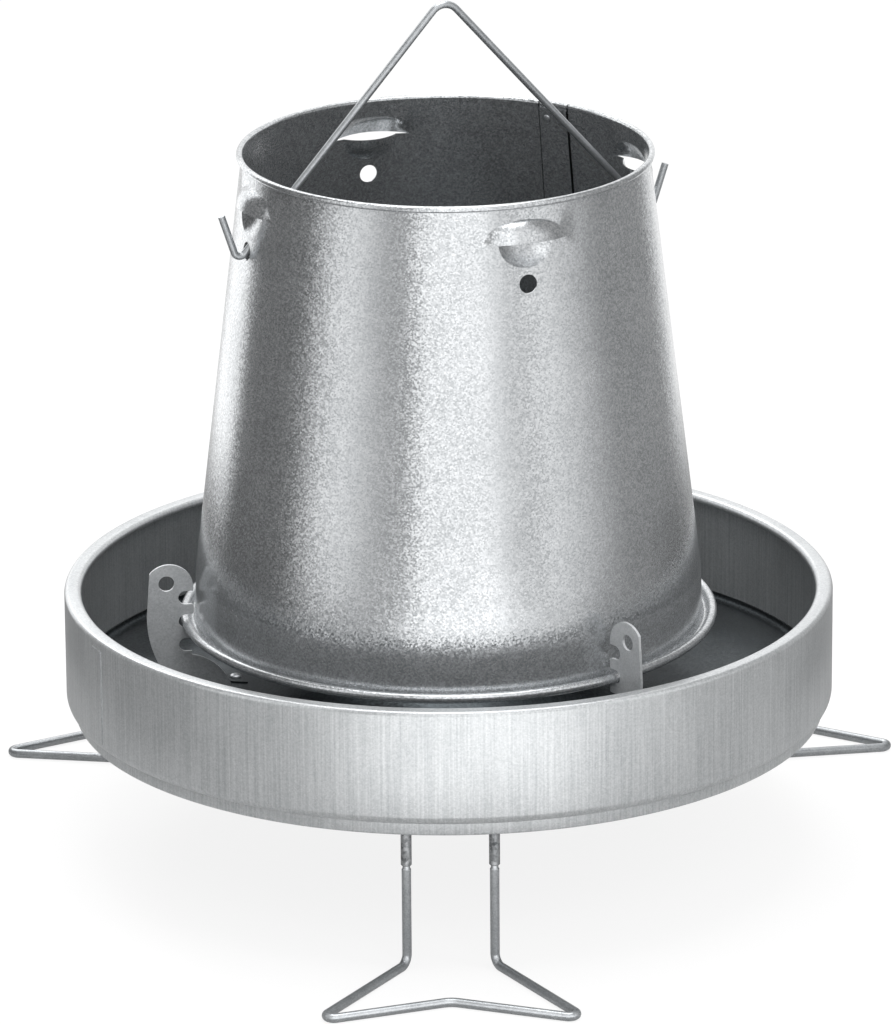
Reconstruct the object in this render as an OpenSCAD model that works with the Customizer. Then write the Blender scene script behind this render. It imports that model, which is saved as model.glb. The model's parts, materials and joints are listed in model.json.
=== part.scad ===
// Poultry feeder of galvanised steel: a round pan on three plug-in wire legs, a tapered
// hopper held by its bottom bead in three notched brackets, and a wire bail to hang it by.
// Millimetres, Z up. The ground is at z = 0 and the pan's axis is the Z axis.
// The front leg points to -Y. Azimuths start at the front and grow towards +X.

/* [Pan] */
// Outside diameter of the pan
pan_d = 420; // [380:1:480]
// Thickness of the pan's sheet
pan_sheet = 0.8; // [0.6:0.1:1.2]
// Height of the pan's foot lip above the ground
pan_clear_h = 77.2; // [60:0.2:110]
// Height from the foot lip's underside to the top of the rolled rim
pan_h = 70.2; // [60:0.2:90]
// Width of the flat roll at the rim
rim_roll_w = 9.4; // [7:0.2:12]
// Height of the flat roll at the rim
rim_roll_h = 5.2; // [4:0.2:6.6]
// Outside radius of the corner between wall and floor
pan_corner_r = 5; // [4:0.5:8]
// Height of the folded lip that stands under the corner
foot_lip_h = 6.8; // [5:0.2:10]
// Open space inside the lip's fold
lip_fold_gap = 0.4; // [0.2:0.1:1]
// Width of the lap on the wall's upright seam
pan_lap_w = 11; // [6:1:20]
// How far the lap stands out from the wall
pan_lap_rise = 0.5; // [0.3:0.1:0.8]
// Azimuth of the wall's upright seam
pan_lap_turn = -64; // [-100:1:-20]

/* [Feed cone] */
// Diameter of the cone where it meets its base ring
cone_d = 196; // [140:2:210]
// Height of the cone
cone_h = 48; // [20:1:60]
// Diameter of the flat on top of the cone
cone_top_d = 14; // [8:1:40]
// Width of the flat base ring round the cone
cone_ring_w = 13; // [8:1:16]
// Thickness of the cone's sheet
cone_sheet = 0.8; // [0.6:0.1:1.2]
// Width of each riveted ear on the base ring
ear_w = 16; // [12:1:24]
// Distance from the pan's axis to the ear's rivet
ear_reach = 119; // [115:1:125]
// Azimuth of the first ear
ear_turn = -98; // [-105:1:-97]

/* [Height brackets] */
// Thickness of the bracket plate
bracket_sheet = 1.5; // [1:0.1:2.5]
// Azimuth of the left bracket
bracket_turn = -82; // [-85:1:-60]
// Height from one notch to the next
notch_pitch = 13.5; // [12:0.5:15]
// Radius of the notches
notch_r = 3.85; // [3.5:0.05:4.4]
// Room between a seated bead and the floor of its notch
bead_seat_gap = 0.3; // [0.2:0.1:0.6]
// How far the notches reach outward past the bead's centre
notch_reach = 0.6; // [0:0.1:2]
// How far the teeth reach inward past the bead's centre
tooth_reach = 3.9; // [2:0.1:4.2]
// Radius on the corners of the teeth
tooth_corner_r = 1.4; // [0.8:0.1:2]
// Radius of the bracket's round head
head_r = 13.4; // [12:0.2:16]
// Height of the head's centre above the bead's centre
head_rise = 20.3; // [19.6:0.1:24]
// Width from the tips of the teeth to the outer edge
bracket_w = 25.7; // [23:0.1:27]
// How far the outer edge leans in towards the top of the head
outer_lean = 2.2; // [0:0.1:4]
// Diameter of the hole in the head
head_hole_d = 8.7; // [6:0.1:10]
// How far the hole stands outward from the bead's centre
head_hole_out = 10.8; // [9:0.1:12]
// Height of the hole above the bead's centre
head_hole_rise = 22.9; // [21:0.1:25]
// Radius of the lobe that reaches in under the hopper
lobe_r = 27.5; // [26:0.5:27.5]
// How far the lobe's centre lies outward from the bead's centre
lobe_out = 2.5; // [0:0.1:4]
// Depth of the lobe's top below the lowest notch
lobe_drop = 1.7; // [0.5:0.1:2]
// Radius of the curve on the outer edge
belly_r = 60; // [56:1:66]
// Height of the outer edge's widest point above the bead's centre
belly_rise = 3; // [0:0.5:6]
// Length of the foot along the pan's radius
foot_l = 22; // [20:0.5:24]
// Width of the foot that is bent flat onto the pan
foot_w = 22; // [18:1:24]

/* [Rivets] */
// Diameter of the pan rivets' shanks
rivet_d = 4; // [3:0.5:5]
// Diameter of the pan rivets' heads
rivet_head_d = 7; // [6:0.5:9]
// Height of the pan rivets' heads
rivet_head_h = 1.8; // [1.2:0.1:2.4]
// Diameter of the hopper seam rivets' shanks
seam_rivet_d = 2; // [1.5:0.1:3]
// Diameter of the hopper seam rivets' heads
seam_rivet_head_d = 3.8; // [3.4:0.1:5]
// Height of the hopper seam rivets' heads
seam_rivet_head_h = 0.8; // [0.6:0.1:1.2]
// Radial room between a shank and its hole
rivet_play = 0.05; // [0.02:0.01:0.1]

/* [Hopper] */
// Height from the bottom bead's centre to the rim bead's centre
hopper_h = 259.4; // [220:0.2:320]
// Outside diameter over the rim bead
hopper_top_d = 224.8; // [200:0.2:240]
// Outside diameter over the bottom bead
hopper_bottom_d = 293.6; // [280:0.2:300]
// Thickness of the hopper's sheet
hopper_sheet = 0.8; // [0.6:0.1:1.2]
// Height of the bottom bead's centre above the pan's floor, in the middle notch
feed_gap_h = 45.6; // [44:0.2:50]
// Height from the bottom bead's centre to the shoulder
collar_h = 25.8; // [18:0.2:40]
// How much the collar widens from the shoulder to the bead
collar_flare = 0.8; // [0.4:0.1:1.4]
// Diameter of the rim bead
rim_bead_d = 3.6; // [3:0.1:4.6]
// Diameter of the bottom bead
hem_bead_d = 5.2; // [4.6:0.1:6]
// Open gap between the collar and the bottom bead
hem_gap = 2.8; // [2:0.1:4]
// How far the hem's trough sits below the bead's centre
hem_drop = 0.3; // [0.2:0.1:0.5]
// Width of the slit where a bead's curl ends
curl_slit = 0.6; // [0.3:0.1:0.8]
// Radial room between a bead's curl and the wire in it
bead_wire_play = 0.1; // [0.05:0.05:0.2]
// Azimuth of the seam's middle
seam_turn = 147; // [130:1:160]
// Angle that the folded seam takes up
seam_angle = 9.6; // [6:0.2:12]
// Height of the seam's lower end above the shoulder
seam_end_rise = 5; // [2:1:40]
// Height of the seam rivets below the rim bead's centre
seam_rivet_drop = 7.2; // [6:0.2:20]
// Angle between the two seam rivets
seam_rivet_angle = 4.2; // [3:0.1:5]

/* [Louvres and bail holes] */
// Azimuth of the first louvre and its hole
louvre_turn = 22; // [5:0.5:40]
// Width of a louvre's upper lip
louvre_w = 40; // [38:1:50]
// Width of a louvre's lower lip
louvre_lower_w = 34; // [28:1:36]
// Height of a louvre's upper lip
louvre_upper_h = 12; // [9:0.5:13]
// Height of a louvre's lower lip
louvre_lower_h = 14; // [9:0.5:15]
// How far each lip is pushed out of the wall
louvre_rise = 6; // [4:0.5:7]
// Height of a louvre's slit below the rim bead's centre
louvre_drop = 19.8; // [18:0.2:40]
// Diameter of the holes for the bail
bail_hole_d = 10; // [9:0.5:12]
// Height of the holes' centres below the slit
bail_hole_drop = 22.2; // [20:0.2:30]

/* [Bail] */
// Diameter of the bail's wire
bail_wire_d = 4; // [3:0.5:4.5]
// Height from the bail's holes to the point where its straight legs would meet
bail_leg_rise = 127.5; // [110:0.5:160]
// Bend radius at the top of the bail
bail_top_bend = 9; // [7:0.5:20]
// Bend radius of the hooks
bail_hook_bend = 3.5; // [3:0.1:5]
// Height of a hook's tip above the line through the holes
bail_tip_rise = 20.5; // [14:0.5:26]
// Lean of a hook's tip away from the hopper
bail_tip_lean = 18.5; // [12:0.5:26]
// Straight wire between the hopper's wall and the hook's bend
bail_hook_room = 1.5; // [1:0.1:4]
// Least room between the bail's wire and its hole
bail_play = 0.3; // [0.2:0.1:0.6]

/* [Legs] */
// Diameter of the legs' wire
leg_wire_d = 5; // [4:0.2:5.4]
// Distance between the two uprights of a leg
upright_gap = 46.4; // [40:0.2:60]
// Azimuth of the rear legs, on each side
rear_leg_turn = 130; // [115:1:135]
// How far a foot's corners reach out past the uprights
foot_reach = 73.5; // [50:0.5:90]
// How far apart the corners of a foot are
foot_span = 132; // [110:1:160]
// How far the middle of a foot is drawn back from its corners
foot_draw = 20.5; // [10:0.5:30]
// Bend radius at a foot's corners
foot_corner_bend = 4; // [3.5:0.1:6]
// Bend radius where an upright meets the ground
ankle_bend = 6; // [5:0.5:9]
// Bend radius at the middle of a foot
foot_middle_bend = 12; // [8:1:20]
// Diameter of the prong that plugs into a socket
prong_d = 4; // [3.2:0.1:4]
// Length of bare prong between a leg's shoulder and its socket
neck_l = 1.5; // [0.5:0.1:3]

/* [Leg sockets] */
// Height of a socket tube
socket_h = 25; // [15:0.5:40]
// Wall thickness of a socket tube
socket_wall = 0.85; // [0.6:0.05:1.2]
// Radial room between a prong and its socket
socket_play = 0.05; // [0.02:0.01:0.1]
// Room between a prong's end and the socket plate
prong_end_gap = 0.3; // [0.2:0.1:0.6]
// Room between the socket tubes and the pan's foot lip
socket_lip_gap = 0.6; // [0.4:0.1:3]
// Thickness of a socket plate
socket_plate_t = 1.5; // [1:0.1:2.5]
// Width of a socket plate along the pan's radius
socket_plate_w = 18; // [12:1:24]
// How far a socket plate runs past its tubes
socket_plate_end = 10; // [6:1:16]

/* [Hidden] */
$fn = 96;

// Colours of the metal
zinc = [0.62, 0.63, 0.65];
bright_zinc = [0.72, 0.73, 0.75];
dull_zinc = [0.52, 0.53, 0.55];

// Room between the base plate and the wall that it sits in
base_play = 0.1;
// How much thicker a bend of wire is than its straight runs, and how far they run into it
bend_swell = 0.01;
bend_entry = 0.1;
// Far enough to cut through anything that is cut
reach = 60;

// Pan
pan_r = pan_d / 2;
pan_corner_z = pan_clear_h + foot_lip_h;
pan_arc_z = pan_corner_z + pan_corner_r;
pan_arc_r = pan_r - pan_corner_r;
pan_floor_under_z = pan_corner_z + pan_sheet + base_play;
pan_floor_z = pan_floor_under_z + pan_sheet;
rim_roll_r = rim_roll_h / 2;
rim_roll_z = pan_clear_h + pan_h - rim_roll_r;
lip_outer_r = pan_arc_r + pan_sheet / 2;
lip_w = 2 * pan_sheet + lip_fold_gap;
lip_inner_r = lip_outer_r - lip_w;

// Hopper
hem_z = pan_floor_z + feed_gap_h;
rim_z = hem_z + hopper_h;
hem_bead_r = hem_bead_d / 2;
rim_bead_r = rim_bead_d / 2;
hem_ring_r = hopper_bottom_d / 2 - hem_bead_r;
rim_ring_r = hopper_top_d / 2 - rim_bead_r;
collar_bottom_r = hem_ring_r - hem_bead_r - hem_gap;
collar_top_r = collar_bottom_r - collar_flare;
shoulder_z = hem_z + collar_h;
neck_r = rim_ring_r - rim_bead_r + hopper_sheet;
taper = atan((collar_top_r - neck_r) / (rim_z - shoulder_z));
level_sheet = hopper_sheet / cos(taper);
hem_wire_r = hem_bead_r - hopper_sheet - bead_wire_play;
rim_wire_r = rim_bead_r - hopper_sheet - bead_wire_play;

// Outside radius of the hopper's wall at a height above the shoulder
function wall_r(z) = neck_r + (rim_z - z) * tan(taper);

// Louvres and holes
louvre_z = rim_z - louvre_drop;
bail_hole_z = louvre_z - bail_hole_drop;
bail_hole_r = bail_hole_d / 2;

// Bail, in the upright plane through the two holes that it hangs in
bail_turn = louvre_turn + 90;
bail_wire_r = bail_wire_d / 2;
bail_wall_r = wall_r(bail_hole_z) - level_sheet / 2;
bail_slant = atan(bail_leg_rise / bail_wall_r);
bail_wall_span = level_sheet / 2 + bail_hole_r * tan(taper);
bail_half_cut = bail_wire_r / cos(bail_slant) + bail_wall_span * tan(bail_slant);
bail_axis_z = bail_hole_z + bail_hole_r - bail_half_cut - bail_play;
bail_peak_z = bail_axis_z + bail_leg_rise;
bail_hook_turn = bail_slant + 90 - bail_tip_lean;
bail_hook_cut = bail_hook_bend * tan(bail_hook_turn / 2);
bail_hook_r = bail_wall_r + bail_hook_room + bail_hook_cut * cos(bail_slant);
bail_hook_z = bail_axis_z - (bail_hook_r - bail_wall_r) * tan(bail_slant);
bail_tip_z = bail_axis_z + bail_tip_rise;
bail_tip_r = bail_hook_r + (bail_tip_z - bail_hook_z) * tan(bail_tip_lean);

// Brackets, in the upright plane through the pan's axis and the bracket
bracket_turns = [bracket_turn, bracket_turn + 120, bracket_turn + 240];
tooth_tip_r = hem_ring_r - tooth_reach;
bracket_outer_r = tooth_tip_r + bracket_w;
notch_end_r = hem_ring_r + notch_reach;
notch_lift = notch_r - hem_bead_r - bead_seat_gap;
head_z = hem_z + head_rise;
belly_z = hem_z + belly_rise;
lobe_centre_r = hem_ring_r + lobe_out;
bottom_notch_z = hem_z - notch_pitch + notch_lift;
lobe_z = bottom_notch_z - notch_r - lobe_drop - lobe_r;
foot_inner_r = lobe_centre_r - lobe_r;
foot_outer_r = foot_inner_r + foot_l;
foot_top_z = pan_floor_z + bracket_sheet;
foot_rivet_side = -foot_w * 0.55;
foot_rivet_edge = rivet_head_d / 2 + 2.5;

// Sockets and legs
leg_turns = [0, -rear_leg_turn, rear_leg_turn];
leg_wire_r = leg_wire_d / 2;
prong_r = prong_d / 2;
socket_bore_r = prong_r + socket_play;
socket_r = socket_bore_r + socket_wall;
upright_half = upright_gap / 2;
socket_limit_r = lip_inner_r - socket_lip_gap - socket_r;
leg_r = sqrt(socket_limit_r * socket_limit_r - upright_half * upright_half);
socket_plate_z = pan_floor_under_z - socket_plate_t;
socket_bottom_z = socket_plate_z - socket_h;
shoulder_round = 0.8;
leg_shoulder_z = socket_bottom_z - neck_l;

function unit(v) = v / norm(v);

// A point of the bail's plane, from its distance outward and its height
function bail_point(out, z) = [out * sin(bail_turn), -out * cos(bail_turn), z];

// Turns its children so that their +X points outward at an azimuth
module at_azimuth(turn) {
    rotate([0, 0, turn - 90]) children();
}

// Straight round rod from one point to another
module rod(from, to, r) {
    run = to - from;
    translate(from)
        rotate([0, acos(run.z / norm(run)), atan2(run.y, run.x)])
            cylinder(h = norm(run), r = r);
}

// Round bend of a wire at a corner between two directions
module wire_bend(corner, dir_in, dir_out, r, bend) {
    turn = acos(dir_in * dir_out);
    inward = unit(dir_out - (dir_in * dir_out) * dir_in);
    start = corner - dir_in * bend * tan(turn / 2);
    centre = start + inward * bend;
    x_dir = -inward;
    z_dir = cross(x_dir, dir_in);
    multmatrix([
        [x_dir.x, dir_in.x, z_dir.x, centre.x],
        [x_dir.y, dir_in.y, z_dir.y, centre.y],
        [x_dir.z, dir_in.z, z_dir.z, centre.z],
        [0, 0, 0, 1]
    ])
        rotate_extrude(angle = turn) translate([bend, 0]) circle(r = r + bend_swell);
}

// Bent wire through points, with one bend radius for each inner point
module bent_wire(points, bends, r) {
    last = len(points) - 1;
    dirs = [for (i = [0 : last - 1]) unit(points[i + 1] - points[i])];
    cuts = [for (i = [0 : last]) i == 0 || i == last
        ? 0 : bends[i - 1] * tan(acos(dirs[i - 1] * dirs[i]) / 2) - bend_entry];
    for (i = [0 : last - 1]) {
        rod(points[i] + dirs[i] * cuts[i], points[i + 1] - dirs[i] * cuts[i + 1], r);
    }
    for (i = [1 : last - 1]) {
        wire_bend(points[i], dirs[i - 1], dirs[i], r, bends[i - 1]);
    }
}

// Round rivet: a domed head above z = 0, a shank through the grip and a flat head below it
module rivet(shank_d, head_d, head_h, grip) {
    head_half = head_d / 2;
    dome_r = (head_half * head_half + head_h * head_h) / (2 * head_h);
    rotate_extrude() {
        intersection() {
            translate([0, head_h - dome_r]) circle(r = dome_r);
            square([head_half, head_h]);
        }
        translate([0, -grip]) square([shank_d / 2, grip]);
        translate([0, -grip - head_h / 2]) square([head_half * 0.85, head_h / 2]);
    }
}

// Flat ring of sheet in profile, for the curls and corners of revolved sheet
module sheet_ring(outer_r, sheet) {
    difference() {
        circle(r = outer_r);
        circle(r = outer_r - sheet);
    }
}

module rim_roll_outline(inset) {
    roll_r = rim_roll_r - inset;
    outer_x = pan_r - rim_roll_r;
    inner_x = pan_r - rim_roll_w + rim_roll_r;
    translate([outer_x, rim_roll_z]) circle(r = roll_r);
    translate([inner_x, rim_roll_z]) circle(r = roll_r);
    translate([inner_x, rim_roll_z - roll_r]) square([outer_x - inner_x, 2 * roll_r]);
}

// Profile of the pan's wall: flat roll, upright wall, round corner and folded foot lip
module pan_wall_profile() {
    fold_r = lip_w / 2;
    fold_x = lip_outer_r - fold_r;
    fold_z = pan_clear_h + fold_r;
    difference() {
        rim_roll_outline(0);
        rim_roll_outline(pan_sheet);
        translate([pan_r - rim_roll_r - pan_sheet, rim_roll_z - rim_roll_r - 1])
            square([pan_sheet, pan_sheet + 1.5]);
    }
    translate([pan_r - pan_sheet, pan_arc_z]) square([pan_sheet, rim_roll_z - pan_arc_z]);
    intersection() {
        translate([pan_arc_r, pan_arc_z]) sheet_ring(pan_corner_r, pan_sheet);
        translate([pan_arc_r, pan_corner_z]) square([pan_corner_r, pan_corner_r]);
    }
    translate([lip_outer_r - pan_sheet, fold_z])
        square([pan_sheet, pan_corner_z + pan_sheet - fold_z]);
    translate([lip_inner_r, fold_z]) square([pan_sheet, pan_corner_z - fold_z]);
    intersection() {
        translate([fold_x, fold_z]) sheet_ring(fold_r, pan_sheet);
        translate([lip_inner_r, pan_clear_h]) square([lip_w, fold_r]);
    }
}

module pan_wall() {
    lap_angle = pan_lap_w / pan_r * 180 / PI;
    lap_top = rim_roll_z - rim_roll_r;
    color(zinc) {
        rotate_extrude() pan_wall_profile();
        rotate([0, 0, pan_lap_turn - 90 - lap_angle / 2])
            rotate_extrude(angle = lap_angle)
                translate([pan_r - pan_sheet / 2, pan_arc_z])
                    square([pan_sheet / 2 + pan_lap_rise, lap_top - pan_arc_z]);
    }
}

// Holes for the rivets that go through the pan's base, at their places
module pan_rivet_holes(r) {
    for (turn = bracket_turns) at_azimuth(turn) foot_rivet_places() hole(r);
    for (i = [0 : 2]) at_azimuth(ear_turn + 120 * i) translate([ear_reach, 0, pan_floor_z]) hole(r);
}

module hole(r) {
    translate([0, 0, -4 * pan_sheet]) cylinder(h = 8 * pan_sheet, r = r);
}

module foot_rivet_places() {
    for (x = [foot_inner_r + foot_rivet_edge, foot_outer_r - foot_rivet_edge])
        translate([x, foot_rivet_side, pan_floor_z]) children();
}

module pan_base() {
    corner_r = pan_corner_r - pan_sheet - base_play;
    flange_top = pan_arc_z + 0.6;
    color(zinc) difference() {
        rotate_extrude() {
            translate([0, pan_floor_under_z]) square([pan_arc_r, pan_sheet]);
            intersection() {
                translate([pan_arc_r, pan_arc_z]) sheet_ring(corner_r, pan_sheet);
                translate([pan_arc_r, pan_floor_under_z]) square(corner_r);
            }
            translate([pan_arc_r + corner_r - pan_sheet, pan_arc_z])
                square([pan_sheet, flange_top - pan_arc_z]);
        }
        pan_rivet_holes(rivet_d / 2 + rivet_play);
    }
}

module feed_cone() {
    base_r = cone_d / 2;
    ring_r = base_r + cone_ring_w;
    top_r = cone_top_d / 2;
    slope_run = cone_sheet * (base_r - top_r) / cone_h;
    color(dull_zinc) translate([0, 0, pan_floor_z]) difference() {
        union() {
            rotate_extrude() {
                translate([base_r - 2 * slope_run, 0]) square([ring_r - base_r + 2 * slope_run, cone_sheet]);
                polygon([
                    [base_r, cone_sheet],
                    [top_r, cone_h],
                    [top_r - slope_run, cone_h],
                    [top_r - slope_run, cone_h - cone_sheet],
                    [base_r - 2 * slope_run, 0],
                    [base_r, 0]
                ]);
                translate([0, cone_h - cone_sheet]) square([top_r, cone_sheet]);
            }
            for (i = [0 : 2]) at_azimuth(ear_turn + 120 * i) {
                translate([base_r, -ear_w / 2, 0]) cube([ear_reach - base_r, ear_w, cone_sheet]);
                translate([ear_reach, 0, 0]) cylinder(h = cone_sheet, r = ear_w / 2);
            }
        }
        for (i = [0 : 2]) at_azimuth(ear_turn + 120 * i)
            translate([ear_reach, 0, 0]) hole(rivet_d / 2 + rivet_play);
    }
}

module cone_rivets() {
    color(bright_zinc) for (i = [0 : 2]) at_azimuth(ear_turn + 120 * i)
        translate([ear_reach, 0, pan_floor_z + cone_sheet])
            rivet(rivet_d, rivet_head_d, rivet_head_h, pan_sheet + cone_sheet);
}

// Outline of a bracket: across is the distance from the pan's axis, up is the height
module bracket_outline() {
    trunk_r = tooth_tip_r + tooth_corner_r;
    low_z = min(lobe_z, pan_floor_z);
    difference() {
        intersection() {
            union() {
                translate([tooth_tip_r + head_r, head_z]) circle(r = head_r);
                translate([trunk_r, lobe_z]) square([bracket_w, head_z - lobe_z]);
                translate([lobe_centre_r, lobe_z]) circle(r = lobe_r);
                translate([foot_inner_r, low_z])
                    square([foot_l, max(lobe_z, pan_floor_z + bracket_sheet) - low_z]);
                for (step = [0, 1]) bracket_tooth(hem_z + notch_lift + step * notch_pitch);
            }
            bracket_limit();
        }
        for (step = [-1 : 1]) bracket_notch(hem_z + notch_lift + step * notch_pitch);
        translate([hem_ring_r + head_hole_out, hem_z + head_hole_rise]) circle(d = head_hole_d);
    }
}

// Everything inside a bracket's outer edge and above the pan's floor
module bracket_limit() {
    head_top_z = head_z + head_r;
    polygon([
        [foot_inner_r, belly_z],
        [bracket_outer_r, belly_z],
        [bracket_outer_r - outer_lean, head_top_z],
        [foot_inner_r, head_top_z]
    ]);
    intersection() {
        translate([bracket_outer_r - belly_r, belly_z]) circle(r = belly_r);
        translate([foot_inner_r, pan_floor_z])
            square([bracket_outer_r - foot_inner_r, belly_z - pan_floor_z]);
    }
}

// One tooth, below the notch at a height, with rounded corners
module bracket_tooth(notch_z) {
    top_z = notch_z - notch_r;
    tooth_h = notch_pitch - 2 * notch_r;
    for (z = [top_z - tooth_corner_r, top_z - tooth_h + tooth_corner_r])
        translate([tooth_tip_r + tooth_corner_r, z]) circle(r = tooth_corner_r);
    translate([tooth_tip_r, top_z - tooth_h + tooth_corner_r])
        square([tooth_corner_r, tooth_h - 2 * tooth_corner_r]);
}

module bracket_notch(z) {
    translate([notch_end_r, z]) circle(r = notch_r);
    translate([lobe_centre_r - lobe_r, z - notch_r])
        square([notch_end_r - lobe_centre_r + lobe_r, 2 * notch_r]);
}

module height_bracket(turn) {
    color(bright_zinc) at_azimuth(turn) difference() {
        union() {
            rotate([90, 0, 0])
                linear_extrude(height = bracket_sheet, center = true) bracket_outline();
            translate([foot_inner_r, -foot_w, pan_floor_z])
                cube([foot_l, foot_w, bracket_sheet]);
        }
        foot_rivet_places() hole(rivet_d / 2 + rivet_play);
    }
}

module bracket_rivets() {
    color(bright_zinc) for (turn = bracket_turns) at_azimuth(turn)
        foot_rivet_places() translate([0, 0, bracket_sheet])
            rivet(rivet_d, rivet_head_d, rivet_head_h, pan_sheet + bracket_sheet);
}

// Strip under the pan that carries the two sockets of one leg
module socket_plate(turn) {
    plate_l = upright_gap + 2 * (socket_r + socket_plate_end);
    plate_outer_r = lip_inner_r - socket_lip_gap;
    color(dull_zinc) at_azimuth(turn) intersection() {
        translate([plate_outer_r - socket_plate_w - socket_plate_end / 2, -plate_l / 2, socket_plate_z])
            cube([socket_plate_w + socket_plate_end / 2, plate_l, socket_plate_t]);
        translate([0, 0, socket_plate_z]) cylinder(h = socket_plate_t, r = plate_outer_r);
    }
}

module socket_tubes(turn) {
    mouth = socket_wall / 2;
    color(dull_zinc) at_azimuth(turn) for (side = [-1, 1])
        translate([leg_r, side * upright_half, socket_bottom_z]) rotate_extrude()
            polygon([
                [socket_bore_r, 0],
                [socket_r - mouth, 0],
                [socket_r, mouth],
                [socket_r, socket_h],
                [socket_bore_r, socket_h]
            ]);
}

// Solid that fills the hopper above its shoulder, to its wall's outer or inner face
module hopper_fill(inset) {
    fill_low_z = louvre_z - reach;
    rotate_extrude() polygon([
        [0, fill_low_z],
        [wall_r(fill_low_z) - inset, fill_low_z],
        [neck_r - inset, rim_z],
        [0, rim_z]
    ]);
}

// Profile of the hopper's sheet: cone, collar, trough and two curled beads
module hopper_profile() {
    trough_r = hem_gap / 2 + hopper_sheet;
    trough_x = collar_bottom_r + hem_gap / 2;
    trough_z = hem_z - hem_drop;
    polygon([
        [collar_bottom_r, trough_z],
        [collar_top_r, shoulder_z],
        [neck_r, rim_z],
        [neck_r - level_sheet, rim_z],
        [collar_top_r - level_sheet, shoulder_z],
        [collar_bottom_r - hopper_sheet, trough_z]
    ]);
    intersection() {
        translate([trough_x, trough_z]) sheet_ring(trough_r, hopper_sheet);
        translate([trough_x - trough_r, trough_z - trough_r]) square([2 * trough_r, trough_r]);
    }
    translate([hem_ring_r - hem_bead_r, trough_z]) square([hopper_sheet, hem_drop]);
    difference() {
        translate([hem_ring_r, hem_z]) sheet_ring(hem_bead_r, hopper_sheet);
        translate([hem_ring_r - curl_slit / 2, hem_z - hem_bead_r - 1])
            square([curl_slit, hopper_sheet + 1.5]);
    }
    difference() {
        translate([rim_ring_r, rim_z]) sheet_ring(rim_bead_r, hopper_sheet);
        translate([rim_ring_r - curl_slit / 4, rim_z - rim_bead_r - 1])
            square([curl_slit, hopper_sheet + 1.2]);
    }
}

// Barrel-shaped half ring that gives a louvre's lip its shape, at the louvre's place in the
// wall; side 1 is the upper lip, pushed out, and side -1 the lower lip, pushed in
module louvre_lip(turn, side, inset) {
    half_w = (side > 0 ? louvre_w : louvre_lower_w) / 2;
    lip_h = side > 0 ? louvre_upper_h : louvre_lower_h;
    plan_r = (half_w * half_w + louvre_rise * louvre_rise) / (2 * louvre_rise);
    side_r = (lip_h * lip_h + louvre_rise * louvre_rise) / (2 * louvre_rise);
    shift = louvre_rise - plan_r;
    at_azimuth(turn) translate([wall_r(louvre_z), 0, louvre_z]) rotate([0, -taper, 0])
        translate([side > 0 ? shift : -shift - hopper_sheet, 0, 0])
            rotate_extrude() intersection() {
                translate([plan_r - side_r, 0]) circle(r = side_r - inset);
                translate([0, side > 0 ? 0 : -side_r]) square([plan_r, side_r]);
            }
}

module hopper_shell() {
    turns = [for (i = [0 : 3]) louvre_turn + 90 * i];
    color(zinc) difference() {
        union() {
            rotate_extrude() hopper_profile();
            hopper_seam();
            difference() {
                for (turn = turns) louvre_lip(turn, 1, 0);
                hopper_fill(level_sheet / 2);
            }
            intersection() {
                for (turn = turns) louvre_lip(turn, -1, 0);
                hopper_fill(level_sheet / 2);
            }
        }
        for (turn = turns) {
            louvre_lip(turn, 1, hopper_sheet);
            louvre_lip(turn, -1, hopper_sheet);
            at_azimuth(turn) translate([neck_r / 2, 0, bail_hole_z]) rotate([0, 90, 0])
                cylinder(h = neck_r, r = bail_hole_r);
        }
        seam_rivet_places(seam_rivet_d / 2 + rivet_play);
    }
}

// Folded seam: a flat strip that stands in from the wall
module hopper_seam() {
    seam_top = rim_z - rim_bead_r;
    seam_low = shoulder_z + seam_end_rise;
    face = level_sheet / 2;
    rotate([0, 0, seam_turn - 90 - seam_angle / 2]) rotate_extrude(angle = seam_angle) polygon([
        [wall_r(seam_low) - face, seam_low],
        [wall_r(seam_top) - face, seam_top],
        [wall_r(seam_top) - level_sheet - hopper_sheet, seam_top],
        [wall_r(seam_low) - level_sheet - hopper_sheet, seam_low]
    ]);
}

// Holes through the seam, square to the wall
module seam_rivet_places(r) {
    for (side = [-0.5, 0.5]) seam_rivet_frame(side)
        rotate([0, 90, 0]) cylinder(h = reach / 4, r = r, center = true);
}

// Frame on the wall's outer face, +X along its normal, at one of the seam's rivets
module seam_rivet_frame(side) {
    z = rim_z - seam_rivet_drop;
    at_azimuth(seam_turn + side * seam_rivet_angle)
        translate([wall_r(z), 0, z]) rotate([0, -taper, 0]) children();
}

module hopper_seam_rivets() {
    color(bright_zinc) for (side = [-0.5, 0.5]) seam_rivet_frame(side)
        translate([seam_rivet_head_h / 2, 0, 0]) rotate([0, -90, 0])
            translate([0, 0, 2 * hopper_sheet + seam_rivet_head_h])
                rivet(seam_rivet_d, seam_rivet_head_d, seam_rivet_head_h,
                    2 * hopper_sheet + seam_rivet_head_h / 2);
}

module hopper_rim_wire() {
    color(bright_zinc) rotate_extrude() translate([rim_ring_r, rim_z]) circle(r = rim_wire_r);
}

module hopper_hem_wire() {
    color(bright_zinc) rotate_extrude() translate([hem_ring_r, hem_z]) circle(r = hem_wire_r);
}

module bail() {
    points = [
        bail_point(-bail_tip_r, bail_tip_z),
        bail_point(-bail_hook_r, bail_hook_z),
        bail_point(0, bail_peak_z),
        bail_point(bail_hook_r, bail_hook_z),
        bail_point(bail_tip_r, bail_tip_z)
    ];
    color(bright_zinc) bent_wire(points, [bail_hook_bend, bail_top_bend, bail_hook_bend], bail_wire_r);
}

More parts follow.
